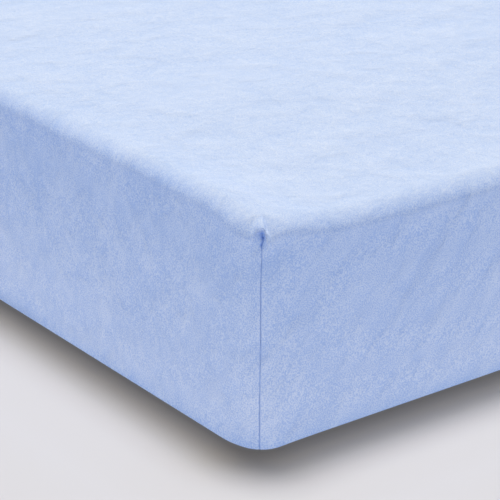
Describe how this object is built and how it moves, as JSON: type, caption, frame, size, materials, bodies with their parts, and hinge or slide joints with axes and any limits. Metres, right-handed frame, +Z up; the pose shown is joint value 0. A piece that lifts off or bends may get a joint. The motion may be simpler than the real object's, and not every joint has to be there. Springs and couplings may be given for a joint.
{
  "type": "fitted sheet on a mattress",
  "caption": "Brushed cotton fitted sheet stretched over a plain mattress, with sewn upright corner seams, soft top edges and a hem tucked underneath.",
  "frame": {"origin": "centre of the footprint, on the surface the object rests on", "axes": "+Z up, +Y along the mattress, +X across it"},
  "size_m": [0.9, 2, 0.255],
  "materials": {
    "sheet_cloth": "matte brushed cotton with a short soft nap",
    "mattress_ticking": "matte plain woven ticking"
  },
  "bodies": {
    "root": {"fitted_sheet": "sheet_cloth", "mattress": "mattress_ticking"}
  },
  "joints": []
}
